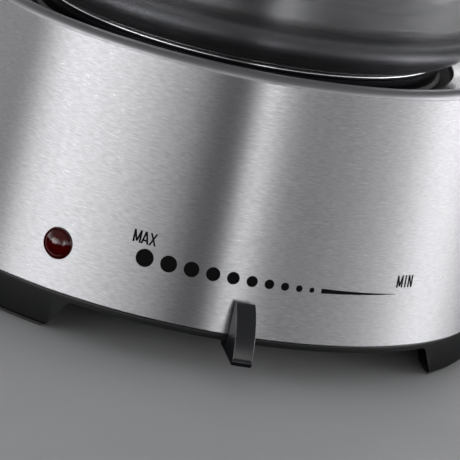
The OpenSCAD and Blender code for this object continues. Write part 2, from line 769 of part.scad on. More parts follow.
module filter_chain() {
    top = spring_foot - 1.6;
    beads = floor((top - chain_foot) / bead_pitch);
    color("silver") union() {
        translate([0, 0, chain_foot]) cylinder(r = 0.45, h = spring_top - 1.1 - chain_foot, $fn = 16);
        for (i = [0:beads]) translate([0, 0, chain_foot + i * bead_pitch]) sphere(r = 1.1, $fn = 20);
    }
}

module filter_hook() {
    bend_r = 2.6;
    wire_r = 0.6;
    color("silver") union() {
        translate([0, 0, 84]) cylinder(r = wire_r, h = chain_foot - 1.2 - 84, $fn = 20);
        translate([bend_r, 0, 84]) rotate([90, 0, 0]) rotate([0, 0, 180]) rotate_extrude(angle = 180, $fn = 48)
            translate([bend_r, 0]) circle(r = wire_r, $fn = 20);
        translate([2 * bend_r, 0, 84]) cylinder(r = wire_r, h = 2.4, $fn = 20);
    }
}

// ---- Lid ----

// Points of a shallow dome from the lid's edge to its middle
function dome(edge_r, edge_z, top_z) = [for (i = [0:8]) let (u = 1 - i / 8)
    [edge_r * u, edge_z + (top_z - edge_z) * (1 - u ^ 2)]];

module lid_cover() {
    edge_z = lid_z + 4;
    color("#202123") difference() {
        rotate_extrude($fn = 144) polygon(concat(
            [[lid_r, lid_z], [lid_r, edge_z - 1.4], [lid_r - 0.5, edge_z - 0.4]],
            dome(lid_r - 1.4, edge_z, lid_dome_z),
            [for (i = [8:-1:0]) dome(skirt_r - 2, edge_z - lid_t, lid_dome_z - lid_t)[i]],
            [[skirt_r - 2, lid_z - 11], [skirt_r, lid_z - 11], [skirt_r, lid_z - 8.6], [skirt_r - 0.7, lid_z - 8.6],
            [skirt_r - 0.7, lid_z - 6], [skirt_r, lid_z - 6], [skirt_r, lid_z]]));
        translate([0, 0, lid_z]) cylinder(r = 2, h = 20, $fn = 32);
    }
}

module lid_seal() {
    color("#b9bcc0") rotate_extrude($fn = 120) polygon([[skirt_r - 0.7, lid_z - 8.6], [skirt_r + 0.2, lid_z - 8.6],
        [skirt_r + 0.6, lid_z - 7.3], [skirt_r + 0.2, lid_z - 6], [skirt_r - 0.7, lid_z - 6]]);
}

module lid_knob() {
    color("#202123") difference() {
        rotate_extrude($fn = 96) polygon(concat([[0, knob_z], [8, knob_z]], arc([18, knob_z + 6], 9.5, 218, 160, 6),
            arc([12.5, knob_z + 12], 2.5, -30, 70, 5), [[0, knob_z + 16]]));
        translate([0, 0, knob_z - 1]) cylinder(r = 2, h = 10, $fn = 32);
    }
}

module lid_screw() {
    seat = lid_dome_z - lid_t - 0.1;
    color("silver") translate([0, 0, seat]) pan_screw(2, lid_t + 8, 4, 2);
}

housing_shell();
foot_ring();
antislip_strip();
bottom_cover();
foot_screws();
cover_screws();
tie_rods();
tie_rod_nuts();
hotplate();
plate_seal();
heating_element();
heat_reflector();
thermostat_body();
thermostat_bracket();
bracket_screws();
spindle_guide();
thermal_fuse();
fuse_clip();
terminal_block();
terminal_screws();
internal_leads();
pilot_lens();
pilot_holder();
pilot_lamp();
inlet_housing();
inlet_pins();
inlet_surround();
inlet_screws();
thermostat_spindle();
lever_arm();
lever_grip();
lever_screw();
vessel_body();
sandwich_base();
handle_band();
handle();
handle_screw();
handle_nut();
funnel_bowl();
riser_tube();
seal_gasket();
funnel_collar();
filter_disc();
filter_cloth();
filter_stud();
filter_nut();
filter_spring();
filter_chain();
filter_hook();
lid_cover();
lid_seal();
lid_knob();
lid_screw();
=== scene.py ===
import json
import math

import bpy
from mathutils import Matrix, Vector


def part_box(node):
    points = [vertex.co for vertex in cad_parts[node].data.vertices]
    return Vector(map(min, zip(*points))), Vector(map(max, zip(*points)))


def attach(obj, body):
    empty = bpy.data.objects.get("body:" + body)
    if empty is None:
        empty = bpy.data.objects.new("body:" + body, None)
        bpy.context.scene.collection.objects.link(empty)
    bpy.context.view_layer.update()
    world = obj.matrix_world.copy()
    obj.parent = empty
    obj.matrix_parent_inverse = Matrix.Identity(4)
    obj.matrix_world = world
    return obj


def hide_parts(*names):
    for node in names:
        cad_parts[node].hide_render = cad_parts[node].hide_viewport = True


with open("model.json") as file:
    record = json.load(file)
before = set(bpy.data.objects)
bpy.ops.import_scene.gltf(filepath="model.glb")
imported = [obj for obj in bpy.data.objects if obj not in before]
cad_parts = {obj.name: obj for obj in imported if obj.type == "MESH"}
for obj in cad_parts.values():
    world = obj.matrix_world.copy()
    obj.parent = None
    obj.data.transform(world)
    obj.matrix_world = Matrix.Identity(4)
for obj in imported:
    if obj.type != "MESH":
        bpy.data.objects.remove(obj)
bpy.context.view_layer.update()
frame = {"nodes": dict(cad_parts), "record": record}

bl_info = {
    "name": "Siphon coffee maker",
    "version": (1, 0, 0),
    "blender": (4, 5, 0),
    "location": "View3D > Sidebar > Siphon Maker",
    "description": "Models the visible pieces and finishes of an electric siphon coffee maker",
    "category": "Object",
}

# All lengths are metres. An angle on the wall is measured from the front, -Y, towards +X.
MM = 0.001


def low(node):
    """Height of a CAD node's lowest point."""
    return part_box(node)[0].z


def top(node):
    """Height of a CAD node's highest point."""
    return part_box(node)[1].z


def radius(node):
    """Radius of a round CAD node about the Z axis."""
    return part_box(node)[1].x


# ---- Sizes and colours that a user would change ----


class SiphonBaseSizes(bpy.types.PropertyGroup):
    """Sizes of the heater base."""

    taper: bpy.props.FloatProperty(
        name="Wall taper", description="How much the wall leans in below the rim",
        default=3.85 * MM, unit="LENGTH",
    )
    rim_roll: bpy.props.FloatProperty(
        name="Rim roll", description="Radius of the roll at the rim", default=2.4 * MM, unit="LENGTH"
    )
    sheet: bpy.props.FloatProperty(
        name="Sheet", description="Thickness of the sheet steel", default=0.8 * MM, unit="LENGTH"
    )
    lens_angle: bpy.props.FloatProperty(
        name="Pilot light angle", description="Angle of the pilot light on the wall",
        default=math.radians(-42), subtype="ANGLE",
    )
    lens_height: bpy.props.FloatProperty(
        name="Pilot light height", description="Height of the pilot light", default=22.7 * MM, unit="LENGTH"
    )
    gap_top: bpy.props.FloatProperty(
        name="Foot gap, top", description="Half angle of the gap between the feet, under the lip",
        default=math.radians(38.1), subtype="ANGLE",
    )
    gap_foot: bpy.props.FloatProperty(
        name="Foot gap, bottom", description="Half angle of the gap between the feet, on the table",
        default=math.radians(42.2), subtype="ANGLE",
    )


class SiphonScaleSizes(bpy.types.PropertyGroup):
    """Sizes of the printed temperature scale."""

    dot_height: bpy.props.FloatProperty(
        name="Dot height", description="Height of the row of dots", default=25.3 * MM, unit="LENGTH"
    )
    largest_dot: bpy.props.FloatProperty(
        name="Largest dot", description="Diameter of the first dot", default=4.66 * MM, unit="LENGTH"
    )
    smallest_dot: bpy.props.FloatProperty(
        name="Smallest dot", description="Diameter of the last dot", default=1.38 * MM, unit="LENGTH"
    )
    letters: bpy.props.FloatProperty(
        name="Letters", description="Height of the letters", default=3.25 * MM, unit="LENGTH"
    )


class SiphonLeverSizes(bpy.types.PropertyGroup):
    """Sizes of the thermostat lever's grip."""

    angle: bpy.props.FloatProperty(
        name="Lever angle", description="Angle of the lever at rest",
        default=math.radians(-5.8), subtype="ANGLE",
    )
    width: bpy.props.FloatProperty(
        name="Grip width", description="Width of the grip", default=5.1 * MM, unit="LENGTH"
    )
    reach: bpy.props.FloatProperty(
        name="Grip reach", description="Radius that the grip reaches", default=93.2 * MM, unit="LENGTH"
    )


class SiphonVesselSizes(bpy.types.PropertyGroup):
    """Sizes of the lower vessel and its handle."""

    corner: bpy.props.FloatProperty(
        name="Corner radius", description="Radius of the lower corner", default=16 * MM, unit="LENGTH"
    )
    shoulder: bpy.props.FloatProperty(
        name="Shoulder radius", description="Radius of the shoulder", default=34 * MM, unit="LENGTH"
    )
    shoulder_height: bpy.props.FloatProperty(
        name="Shoulder height", description="Height at which the shoulder starts",
        default=128 * MM, unit="LENGTH",
    )
    neck: bpy.props.FloatProperty(
        name="Neck radius", description="Outside radius of the neck", default=24 * MM, unit="LENGTH"
    )
    wall: bpy.props.FloatProperty(
        name="Wall", description="Thickness of the vessel's wall", default=0.9 * MM, unit="LENGTH"
    )
    handle_bend: bpy.props.FloatProperty(
        name="Handle bend", description="Radius of the bend in the handle", default=20 * MM, unit="LENGTH"
    )
    handle_lean: bpy.props.FloatProperty(
        name="Handle lean", description="Lean of the grip towards the vessel",
        default=math.radians(8), subtype="ANGLE",
    )


class SiphonFunnelSizes(bpy.types.PropertyGroup):
    """Sizes of the glass funnel and the lid."""

    glass: bpy.props.FloatProperty(
        name="Glass", description="Thickness of the glass", default=2 * MM, unit="LENGTH"
    )
    bowl_curve: bpy.props.FloatProperty(
        name="Bowl curve", description="Radius of the bowl's round bottom", default=44 * MM, unit="LENGTH"
    )
    spout: bpy.props.FloatProperty(
        name="Spout radius", description="Outside radius of the glass spout", default=12 * MM, unit="LENGTH"
    )
    lid_rise: bpy.props.FloatProperty(
        name="Lid rise", description="Rise of the domed lid over its edge", default=5 * MM, unit="LENGTH"
    )


class SiphonColours(bpy.types.PropertyGroup):
    """Main colours, as sRGB hex values."""

    steel: bpy.props.StringProperty(
        name="Brushed steel", description="Colour of the brushed wall", default="e6e6e8"
    )
    vessel: bpy.props.StringProperty(
        name="Vessel steel", description="Colour of the satin vessel", default="d2d3d5"
    )
    foot: bpy.props.StringProperty(
        name="Foot plastic", description="Colour of the black foot ring", default="101112"
    )
    lever: bpy.props.StringProperty(
        name="Lever plastic", description="Colour of the smoked grip", default="15161a"
    )
    lens: bpy.props.StringProperty(
        name="Lens", description="Colour of the red lens", default="a80f0a"
    )


# ---- Modelling helpers ----


def arc(centre, size, start, end, steps=8):
    """Points of an arc about centre, in degrees, as (radius, height)."""
    turns = [math.radians(start + (end - start) * i / steps) for i in range(steps + 1)]
    return [(centre[0] + size * math.cos(a), centre[1] + size * math.sin(a)) for a in turns]


def wall_radius(sizes, height):
    """Outside radius of the housing's leaning wall at this height."""
    foot_z = low("housing_shell")
    slope = sizes.taper / (top("housing_shell") - sizes.rim_roll - foot_z)
    return radius("housing_shell") - slope * (height - foot_z)


def select_only(piece):
    """Selects one object and makes it the active one."""
    bpy.ops.object.select_all(action="DESELECT")
    piece.select_set(True)
    bpy.context.view_layer.objects.active = piece


def draw_outline(name, points, closed=True):
    """Extrudes one vertex from point to point and leaves the outline selected in edit mode."""
    points = [Vector(p) for p in points]
    bpy.ops.object.select_all(action="DESELECT")
    bpy.ops.mesh.primitive_plane_add(size=MM, location=(0, 0, 0))
    piece = bpy.context.object
    piece.name = name
    piece.data.name = name
    bpy.ops.object.mode_set(mode="EDIT")
    bpy.ops.mesh.merge(type="CENTER")
    bpy.ops.transform.translate(value=points[0])
    stops = points[1:] + ([points[0]] if closed else [])
    at = points[0]
    for stop in stops:
        bpy.ops.mesh.extrude_vertices_move(TRANSFORM_OT_translate={"value": (stop - at)[:]})
        at = stop
    bpy.ops.mesh.select_all(action="SELECT")
    bpy.ops.mesh.remove_doubles(threshold=0.001 * MM)
    return piece


def lathe(name, outline, steps=256, closed=True):
    """Spins an outline of (radius, height) about Z. One that starts and ends on the axis stays open."""
    piece = draw_outline(name, [(r, 0, z) for r, z in outline], closed)
    bpy.ops.mesh.spin(steps=steps, angle=2 * math.pi, center=(0, 0, 0), axis=(0, 0, 1))
    bpy.ops.mesh.select_all(action="SELECT")
    bpy.ops.mesh.remove_doubles(threshold=0.002 * MM)
    bpy.ops.mesh.normals_make_consistent(inside=False)
    bpy.ops.object.mode_set(mode="OBJECT")
    return piece


def plate(name, outline, depth):
    """Solid of a side outline of (radius, height), drawn at -Y and made depth wide along X."""
    piece = draw_outline(name, [(-depth / 2, -r, z) for r, z in outline])
    bpy.ops.mesh.edge_face_add()
    bpy.ops.mesh.extrude_region_move(TRANSFORM_OT_translate={"value": (depth, 0, 0)})
    bpy.ops.mesh.select_all(action="SELECT")
    bpy.ops.mesh.normals_make_consistent(inside=False)
    bpy.ops.object.mode_set(mode="OBJECT")
    return piece


def modify(piece, kind, **settings):
    """Adds a modifier, sets it and applies it."""
    modifier = piece.modifiers.new(kind.lower(), kind)
    for key, value in settings.items():
        setattr(modifier, key, value)
    select_only(piece)
    bpy.ops.object.modifier_apply(modifier=modifier.name)


def cut(piece, cutter, operation="DIFFERENCE"):
    """Cuts another mesh out of a piece, or joins it on, and removes that other mesh."""
    modify(piece, "BOOLEAN", object=cutter, operation=operation, solver="EXACT")
    bpy.data.objects.remove(cutter, do_unlink=True)


def round_edges(piece, width, segments=3, angle=40):
    """Rounds the edges that turn by more than angle degrees."""
    modify(
        piece, "BEVEL", width=width, segments=segments, limit_method="ANGLE",
        angle_limit=math.radians(angle), use_clamp_overlap=True,
    )


def on_wall(piece, angle, height, distance):
    """Turns a piece that faces +Z to face outwards at this angle, height and distance from the axis."""
    piece.rotation_euler = (math.pi / 2, 0, angle)
    piece.location = (distance * math.sin(angle), -distance * math.cos(angle), height)
    place(piece)


def place(piece):
    """Moves a piece's place, turn and scale into its mesh."""
    select_only(piece)
    bpy.ops.object.transform_apply(location=True, rotation=True, scale=True)


def finish_piece(piece, body, material, nodes=(), angle=34):
    """Smooths a piece, gives it its finish and its body, and hides the CAD nodes it stands for."""
    place(piece)
    bpy.ops.object.shade_smooth_by_angle(angle=math.radians(angle))
    piece.data.materials.clear()
    piece.data.materials.append(material)
    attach(piece, body)
    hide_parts(*nodes)
    return piece


# ---- Materials ----


def linear(hex_colour):
    """Linear RGBA of an sRGB hex value."""
    parts = [int(hex_colour[i:i + 2], 16) / 255 for i in (0, 2, 4)]
    return (*[p / 12.92 if p <= 0.04045 else ((p + 0.055) / 1.055) ** 2.4 for p in parts], 1.0)


def add(tree, kind, inputs=(), **settings):
    """Adds a node. Each input is (socket, value), and a value of (node, output) is a link."""
    node = tree.nodes.new("ShaderNode" + kind)
    for key, value in settings.items():
        setattr(node, key, value)
    for socket, value in inputs:
        if isinstance(value, tuple) and isinstance(value[0], bpy.types.Node):
            tree.links.new(value[0].outputs[value[1]], node.inputs[socket])
        else:
            node.inputs[socket].default_value = value
    return node


def surface(name, colour, second, rough, grain, stretch=(1, 1, 1), bump=0.0, detail=3.0, **constants):
    """Material whose colour and roughness run between two ends with a grain of this size in millimetres.

    stretch multiplies the grain along x, y and z, and bump is the depth of the grain in millimetres.
    The other values go straight to the shader's own sockets.
    """
    material = bpy.data.materials.new(name)
    material.use_nodes = True
    tree = material.node_tree
    shader = tree.nodes["Principled BSDF"]
    for socket, value in constants.items():
        shader.inputs[socket.replace("_", " ")].default_value = value
    place_of = add(tree, "TexCoord")
    scale = [1 / (grain * MM * s) for s in stretch]
    mapping = add(tree, "Mapping", [("Vector", (place_of, "Object")), ("Scale", scale)])
    noise = add(tree, "TexNoise", [("Vector", (mapping, "Vector")), ("Scale", 1.0), ("Detail", detail)])
    tint = add(
        tree, "Mix", [("Factor", (noise, "Fac")), (6, linear(colour)), (7, linear(second))], data_type="RGBA"
    )
    tree.links.new(tint.outputs[2], shader.inputs["Base Color"])
    spread = add(
        tree, "MapRange",
        [
            ("Value", (noise, "Fac")), ("From Min", 0.25), ("From Max", 0.75),
            ("To Min", rough[0]), ("To Max", rough[1]),
        ],
    )
    tree.links.new(spread.outputs["Result"], shader.inputs["Roughness"])
    if bump:
        relief = add(tree, "Bump", [("Height", (noise, "Fac")), ("Distance", bump * MM), ("Strength", 1.0)])
        tree.links.new(relief.outputs["Normal"], shader.inputs["Normal"])
    return material


def make_finishes(colours):
    """Every finish, by the record's material slot."""
    made = {}
    # Stainless sheet, brushed round the wall with a fine belt: grooves that run level spread each
    # light up and down, so soft vertical bands show, with short level streaks over them.
    made["brushed_housing"] = surface(
        "brushed_stainless_sheet", colours.steel, "a9a9ac", (0.27, 0.36), 0.24, (8, 8, 1), 0.0, 2.0,
        Metallic=1.0, Anisotropic=0.95, Anisotropic_Rotation=0.25,
    )
    # Stainless steel, satin polished on a lathe: softer and finer than the brushed wall.
    made["vessel_steel"] = surface(
        "satin_turned_stainless", colours.vessel, "c2c2c4", (0.20, 0.25), 0.45, (30, 30, 1), 0.0, 2.0,
        Metallic=1.0, Anisotropic=0.8, Anisotropic_Rotation=0.25,
    )
    # Stainless steel, buffed to a mirror: clear reflections with a faint haze.
    made["polished_band"] = surface(
        "buffed_stainless", "dcdcde", "cfd0d2", (0.05, 0.10), 3.0, (1, 1, 1), 0.0, 3.0, Metallic=1.0
    )
    # Painted shade: the same sheet where it is rolled over the rim, drawn darker so that the rim fades into
    # shadow.
    made["rim"] = surface(
        "rolled_rim_painted_shade", "98989b", "8c8c8f", (0.40, 0.48), 0.5, (9, 9, 1), 0.0, 2.0, Metallic=1.0
    )
    # The dish round the hotplate, buffed, drawn darker than the buffed band.
    made["dish"] = surface(
        "buffed_dish", "a2a2a4", "8c8c8f", (0.12, 0.20), 2.0, (1, 1, 1), 0.0, 3.0, Metallic=1.0
    )
    # Painted shade: side of the sandwich base drawn as dark steel, so that it reads as a shadowed band over
    # the hotplate.
    made["disc"] = surface(
        "capsule_side_painted_shade", "3c3c3f", "2c2c2f", (0.30, 0.40), 0.5, (30, 30, 1), 0.0, 2.0, Metallic=1.0
    )
    # Zinc-plated steel sheet: grey, with a cloudy, slightly grainy sheen.
    made["plated_sheet"] = surface(
        "zinc_plated_sheet", "b3b5b8", "8d9094", (0.30, 0.46), 2.2, (1, 1, 1), 0.002, 5.0, Metallic=1.0
    )
    # Bright drawn steel: screws, nuts, rods and spring wire.
    made["plain_steel"] = surface(
        "bright_drawn_steel", "c4c5c7", "a2a3a6", (0.20, 0.34), 0.8, (1, 1, 3), 0.001, 3.0, Metallic=1.0
    )
    # Cast iron with a baked black coat: dull, with the fine pits of the casting.
    made["plate_iron"] = surface(
        "coated_cast_iron", "26272a", "17181a", (0.50, 0.66), 0.9, (1, 1, 1), 0.03, 6.0
    )
    # Steel sheath of the element, heat-stained brown and blue-grey.
    made["sheath_steel"] = surface(
        "heat_stained_sheath", "77736e", "4f4b50", (0.38, 0.55), 6.0, (1, 1, 1), 0.004, 4.0, Metallic=1.0
    )
    # Bright rolled aluminium sheet, with the long lines of the rolls.
    made["reflector_aluminium"] = surface(
        "bright_rolled_aluminium", "dadbdd", "c2c4c7", (0.16, 0.28), 0.7, (1, 40, 1), 0.001, 3.0, Metallic=1.0
    )
    # ABS, moulded in a satin tool: near black, with a very fine even grain.
    made["black_plastic"] = surface(
        "moulded_black_abs", colours.foot, "0a0b0c", (0.36, 0.46), 0.45, (1, 1, 1), 0.006, 4.0, IOR=1.53,
        Specular_IOR_Level=0.35,
    )
    # The inlet is moulded in a harder, slightly glossier nylon.
    made["inlet_plastic"] = surface(
        "moulded_black_nylon", "1c1d20", "131416", (0.28, 0.38), 0.5, (1, 1, 1), 0.005, 4.0, IOR=1.53
    )
    # Phenolic, moulded and rubbed by hands: black with a soft gloss.
    made["handle_plastic"] = surface(
        "moulded_black_phenolic", "1a1a1c", "101012", (0.22, 0.36), 1.6, (1, 1, 1), 0.008, 5.0, IOR=1.6
    )
    # Smoked polycarbonate with a tint of charcoal: glossy, and a little light passes its edges.
    made["smoked_plastic"] = surface(
        "smoked_polycarbonate", colours.lever, "101114", (0.30, 0.38), 1.2, (1, 1, 1), 0.002, 3.0, IOR=1.585
    )
    # Vulcanised rubber: black and matt, with a dusty grain.
    made["black_rubber"] = surface(
        "vulcanised_black_rubber", "17171a", "0f0f10", (0.62, 0.78), 0.5, (1, 1, 1), 0.01, 4.0, IOR=1.52
    )
    # Moulded silicone rubber: mid grey, with a dull skin.
    made["grey_silicone"] = surface(
        "moulded_grey_silicone", "55575a", "4a4c4f", (0.46, 0.58), 1.4, (1, 1, 1), 0.006, 3.0, IOR=1.43
    )
    # Silicone sleeve of the leads, extruded.
    made["lead_silicone"] = surface(
        "extruded_red_silicone", "a83c2c", "8e3023", (0.44, 0.56), 1.2, (1, 1, 1), 0.004, 3.0, IOR=1.43
    )
    # Steatite ceramic, pressed and unglazed: warm white, with a chalky tooth.
    made["ceramic"] = surface(
        "unglazed_steatite", "e9e4d7", "ded7c6", (0.55, 0.7), 1.0, (1, 1, 1), 0.01, 5.0, IOR=1.6
    )
    # Brass strip and screws, plain, with a little tarnish.
    made["contact_brass"] = surface(
        "plain_brass", "d8bd78", "b3924d", (0.26, 0.42), 1.8, (1, 1, 1), 0.002, 4.0, Metallic=1.0
    )
    # Polycarbonate lens, dyed red through: very dark where it is thick, with a clear gloss over it.
    made["red_lens"] = surface(
        "dyed_red_polycarbonate", colours.lens, "6e0a07", (0.06, 0.16), 1.1, (1, 1, 1), 0.12, 3.0,
        IOR=1.585, Transmission_Weight=0.9, Specular_IOR_Level=0.2,
    )
    # Small neon lamp of soda glass, orange when lit and pale when off.
    made["lamp_glass"] = surface(
        "soda_lamp_glass", "f0c0a4", "e5a98a", (0.05, 0.1), 2.0, (1, 1, 1), 0.0, 2.0,
        IOR=1.52, Transmission_Weight=0.7,
    )
    # Borosilicate glass, blown: clear, with very slight waves in its gloss.
    made["clear_glass"] = surface(
        "blown_borosilicate_glass", "fbfdfd", "f2f8f8", (0.0, 0.02), 22.0, (1, 1, 1), 0.02, 1.0,
        IOR=1.474, Transmission_Weight=1.0,
    )
    return made


def cotton_flannel():
    """Napped cotton flannel. Threads cross every 0.6 mm, drawn coarser than real ones so that they show."""
    thread = 0.6
    material = surface(
        "napped_cotton_flannel", "ece4d2", "dfd5be", (0.82, 0.95), 0.5, (1, 1, 1), 0.0, 6.0,
        Sheen_Weight=0.5, Sheen_Roughness=0.5,
    )
    tree = material.node_tree
    place_of = add(tree, "TexCoord")
    scale = [1 / (thread * MM)] * 3
    mapping = add(tree, "Mapping", [("Vector", (place_of, "Object")), ("Scale", scale)])
    threads = [
        add(
            tree, "TexWave",
            [("Vector", (mapping, "Vector")), ("Scale", 0.5), ("Distortion", 1.2), ("Detail", 2.0)],
            bands_direction=direction,
        )
        for direction in ("X", "Y")
    ]
    weave = add(tree, "Math", [(0, (threads[0], "Fac")), (1, (threads[1], "Fac"))], operation="MAXIMUM")
    relief = add(tree, "Bump", [("Height", (weave, "Value")), ("Distance", 0.12 * MM)])
    tree.links.new(relief.outputs["Normal"], tree.nodes["Principled BSDF"].inputs["Normal"])
    return material


def printing_ink():
    """Pad-printed black ink: flat and slightly satin, thinner at its edges."""
    return surface(
        "pad_printed_ink", "050506", "09090a", (0.6, 0.75), 0.4, (1, 1, 1), 0.0, 4.0, IOR=1.45,
        Specular_IOR_Level=0.1,
    )


def finish_of(slot):
    """The material of one of the record's slots."""
    return bpy.data.materials[FINISH_NAMES[slot]]


FINISH_NAMES = {}

# Width of each letter, and its strokes from (x, y) to (x, y), as shares of its width and height
LETTERS = {
    "M": (0.66, (((0, 0), (0, 1)), ((0, 1), (0.5, 0.1)), ((0.5, 0.1), (1, 1)), ((1, 1), (1, 0)))),
    "A": (0.64, (((0, 0), (0.5, 1)), ((0.5, 1), (1, 0)), ((0.2, 0.28), (0.8, 0.28)))),
    "X": (0.6, (((0, 0), (1, 1)), ((0, 1), (1, 0)))),
    "I": (0.16, (((0.5, 0), (0.5, 1)),)),
    "N": (0.52, (((0, 0), (0, 1)), ((0, 1), (1, 0)), ((1, 0), (1, 1)))),
}


# ---- Operators: one for each piece or group of like pieces ----


class SiphonFinishes(bpy.types.Operator):
    """Makes every finish and gives the CAD nodes theirs"""

    bl_idname = "siphon.finishes"
    bl_label = "Finishes"

    def execute(self, context):
        made = make_finishes(context.scene.siphon_colours)
        made["cotton_cloth"] = cotton_flannel()
        printing_ink()
        FINISH_NAMES.update({slot: material.name for slot, material in made.items()})
        for part in frame["record"]["subparts"]:
            node = frame["nodes"][part["node"]]
            node.data.materials.clear()
            node.data.materials.append(made[part["material_slot"]])
        return {"FINISHED"}


class SiphonHousing(bpy.types.Operator):
    """Steel housing: brushed wall, rolled rim and polished dish in one pressing"""

    bl_idname = "siphon.housing"
    bl_label = "Housing"

    def execute(self, context):
        sizes = context.scene.siphon_base
        foot_r, foot_z = radius("housing_shell"), low("housing_shell")
        rim_z, roll, sheet = top("housing_shell"), sizes.rim_roll, sizes.sheet
        dish_r, flange_z = radius("plate_seal"), low("plate_seal")
        dish_z = top("hotplate") + 0.9 * MM
        roll_c = (foot_r - sizes.taper - roll, rim_z - roll)
        over = 100
        outline = (
            [(foot_r - 0.25 * MM, foot_z), (foot_r, foot_z + 0.25 * MM)]
            + arc(roll_c, roll, 0, over, 20)
            + [(dish_r + 0.5 * MM, dish_z + 0.15 * MM), (dish_r + 0.12 * MM, dish_z - 0.1 * MM)]
            + [(dish_r, dish_z - 0.5 * MM)]
            + [(dish_r, flange_z), (dish_r + sheet, flange_z), (dish_r + sheet, dish_z - 0.7 * MM)]
            + arc(roll_c, roll - sheet, over, 0, 16)
            + [(foot_r - sheet, foot_z)]
        )
        housing = lathe("housing", outline, 512)
        drill, hole_r = 20 * MM, 4.15 * MM
        wall_mid = foot_r - sizes.taper / 2
        bpy.ops.mesh.primitive_cylinder_add(vertices=96, radius=hole_r, depth=drill)
        lens_hole = bpy.context.object
        on_wall(lens_hole, sizes.lens_angle, sizes.lens_height, wall_mid)
        cut(housing, lens_hole)
        inlet_low, inlet_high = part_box("inlet_housing")
        middle = (inlet_low + inlet_high) / 2
        spare = 0.6 * MM
        bpy.ops.mesh.primitive_cube_add(
            size=1, location=(0, wall_mid, middle.z),
            scale=(inlet_high.x - inlet_low.x + spare, drill, inlet_high.z - inlet_low.z + spare),
        )
        cut(housing, bpy.context.object)
        finish_piece(housing, "base", finish_of("brushed_housing"), ["housing_shell"], 30)
        housing.data.materials.append(finish_of("dish"))
        housing.data.materials.append(finish_of("rim"))
        dish_from, rim_from = roll_c[0] - 0.6 * MM, roll_c[1] + 0.12 * roll
        # Faces inside the dish get the dish finish, and faces on the rolled rim get the darker rim finish,
        # which is painted shade.
        for face in housing.data.polygons:
            inward = math.hypot(face.center.x, face.center.y) < dish_from
            if inward and face.center.z > flange_z - MM:
                face.material_index = 1
            elif face.center.z > rim_from:
                face.material_index = 2
        return {"FINISHED"}


class SiphonScale(bpy.types.Operator):
    """Printed scale on the wall: ten dots, a tapering line and the words for its two ends"""

    bl_idname = "siphon.scale"
    bl_label = "Printed scale"

    def execute(self, context):
        base, sizes = context.scene.siphon_base, context.scene.siphon_scale
        housing = bpy.data.objects["housing"]
        marks = []
        clear = 0.6 * MM

        def put(mark, angle, height):
            on_wall(mark, math.radians(angle), height, wall_radius(base, height) + clear)
            marks.append(mark)

        dots = 10
        first, last = -25.2, 6.6
        # Dots crowd together and shrink towards the last, and the row sinks a little along the wall.
        droop, crowding, shrink = 0.65 * MM, 0.315, 1.05
        for i in range(dots):
            share = i / (dots - 1)
            angle = first + (last - first) * ((1 + crowding) * share - crowding * share ** 2)
            size = sizes.largest_dot + (sizes.smallest_dot - sizes.largest_dot) * share ** shrink
            bpy.ops.mesh.primitive_circle_add(vertices=48, radius=size / 2, fill_type="NGON")
            bpy.ops.object.mode_set(mode="EDIT")
            bpy.ops.mesh.inset(thickness=size / 5)
            bpy.ops.mesh.poke()
            bpy.ops.object.mode_set(mode="OBJECT")
            put(bpy.context.object, angle, sizes.dot_height + droop * (0.4 - share))
        line_from, line_to, steps = 8.5, 25.2, 24
        thick = 1.25 * MM
        for i in range(steps):
            shares = (i / steps, (i + 1) / steps)
            middle = math.radians(line_from + (line_to - line_from) * sum(shares) / 2)
            half = wall_radius(base, sizes.dot_height) * math.radians(line_to - line_from) / steps / 2
            bpy.ops.mesh.primitive_plane_add(size=2)
            strip = bpy.context.object
            for vertex in strip.data.vertices:
                share = shares[1] if vertex.co.x > 0 else shares[0]
                depth = thick * (1 - 0.93 * share)
                vertex.co.x *= half
                vertex.co.y = -thick / 2 + (depth if vertex.co.y > 0 else 0)
            put(strip, math.degrees(middle), sizes.dot_height - droop * (0.6 - 0.55 * shares[0]))
        tall, pen = sizes.letters, 0.5 * MM
        for word, angle, height, gap in (("MAX", -25.9, 30.6 * MM, 0.0), ("MIN", 27.1, 28.0 * MM, 0.19)):
            widths = [LETTERS[letter][0] * tall for letter in word]
            between = gap * tall
            x = -(sum(widths) + between * (len(word) - 1)) / 2
            for letter, width in zip(word, widths):
                for start, end in LETTERS[letter][1]:
                    a = Vector((x + start[0] * (width - pen) + pen / 2, (start[1] - 0.5) * tall, 0))
                    b = Vector((x + end[0] * (width - pen) + pen / 2, (end[1] - 0.5) * tall, 0))
                    bpy.ops.mesh.primitive_plane_add(size=1)
                    bar = bpy.context.object
                    level = start[1] == end[1]
                    for vertex in bar.data.vertices:
                        side = Vector((0, pen / 2, 0)) if level else Vector((pen / 2, 0, 0))
                        along = b if vertex.co.y > 0 else a
                        vertex.co = along + side * (1 if vertex.co.x > 0 else -1)
                    put(bar, angle, height)
                x += width + between
        bpy.ops.object.select_all(action="DESELECT")
        for mark in marks:
            mark.select_set(True)
        bpy.context.view_layer.objects.active = marks[0]
        bpy.ops.object.join()
        scale = bpy.context.object
        scale.name = "printed_scale"
        scale.data.name = "printed_scale"
        bpy.ops.object.mode_set(mode="EDIT")
        bpy.ops.mesh.select_all(action="SELECT")
        bpy.ops.mesh.remove_doubles(threshold=0.005 * MM)
        bpy.ops.object.mode_set(mode="OBJECT")
        modify(
            scale, "SHRINKWRAP", target=housing, wrap_method="NEAREST_SURFACEPOINT",
            wrap_mode="ABOVE_SURFACE", offset=0.02 * MM,
        )
        modify(scale, "SOLIDIFY", thickness=0.03 * MM, offset=1.0)
        finish_piece(scale, "base", bpy.data.materials["pad_printed_ink"])
        return {"FINISHED"}


